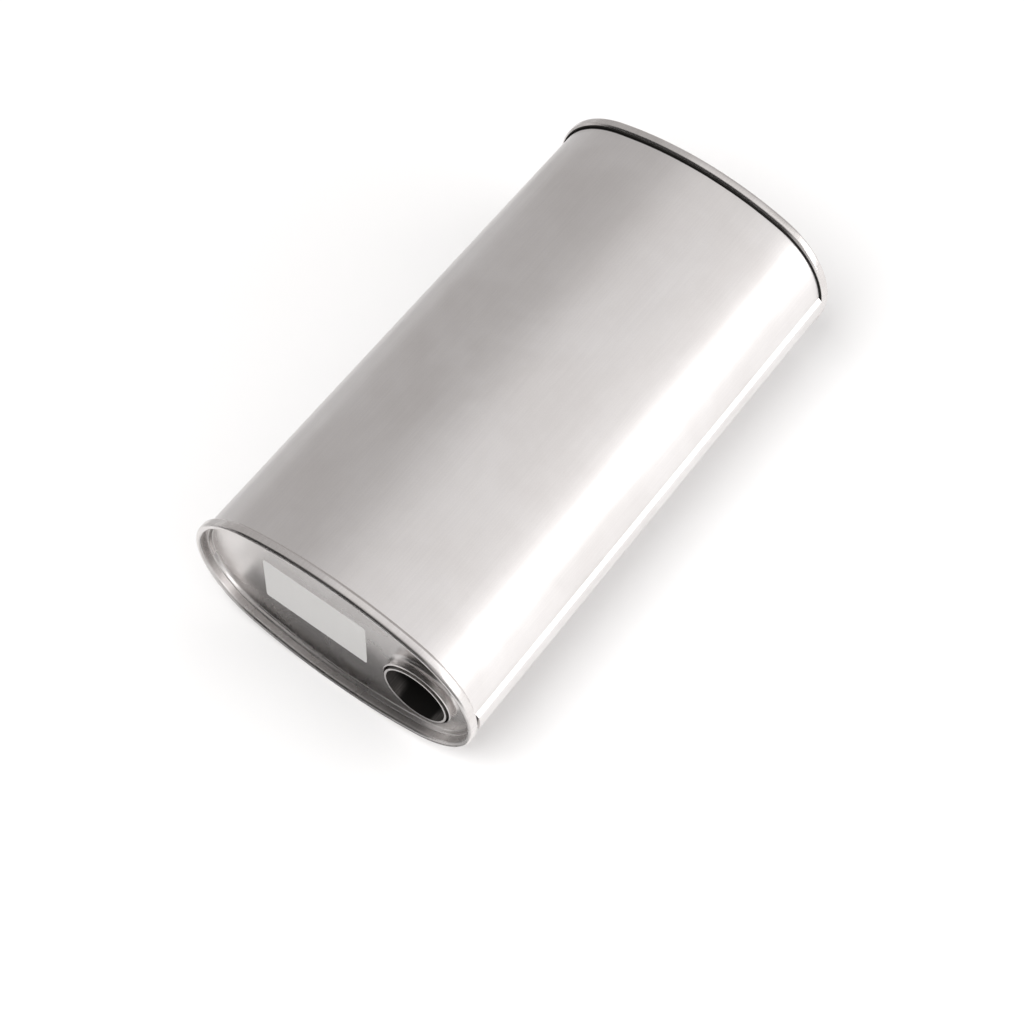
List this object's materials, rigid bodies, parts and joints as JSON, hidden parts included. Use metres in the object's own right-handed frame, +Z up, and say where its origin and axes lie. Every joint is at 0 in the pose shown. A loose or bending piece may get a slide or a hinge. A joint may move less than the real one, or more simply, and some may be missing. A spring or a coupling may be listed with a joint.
{
  "type": "glasspack muffler",
  "caption": "Flat oval exhaust muffler with recessed end caps on rolled rims, an offset inlet and a central outlet socket, baffles, perforated tubes and a packed, louvred core.",
  "frame": {"origin": "under the middle of the muffler, on the plane that both rims rest on with a broad side down", "axes": "+X from the inlet end to the outlet end, +Y along the oval's long axis away from the inlet pipe, +Z up through the broad sides"},
  "size_m": [0.434, 0.236, 0.148],
  "materials": {
    "shell_sheet": "satin rolled sheet",
    "cap_sheet": "satin pressed sheet",
    "baffle_sheet": "plain pressed sheet",
    "inner_tube": "plain welded tube",
    "glass_wool": "pale yellow glass wool",
    "jacket_sheet": "thin plain sheet",
    "pipe_steel": "drawn tube"
  },
  "bodies": {
    "root": {"shell": "shell_sheet", "inlet_end_cap": "cap_sheet", "outlet_end_cap": "cap_sheet", "inlet_baffle": "baffle_sheet", "outlet_baffle": "baffle_sheet", "upper_perforated_tube": "inner_tube", "lower_perforated_tube": "inner_tube", "louvred_core_tube": "inner_tube", "packing": "glass_wool", "packing_jacket": "jacket_sheet", "inlet_pipe": "pipe_steel", "outlet_pipe": "pipe_steel"}
  },
  "joints": []
}
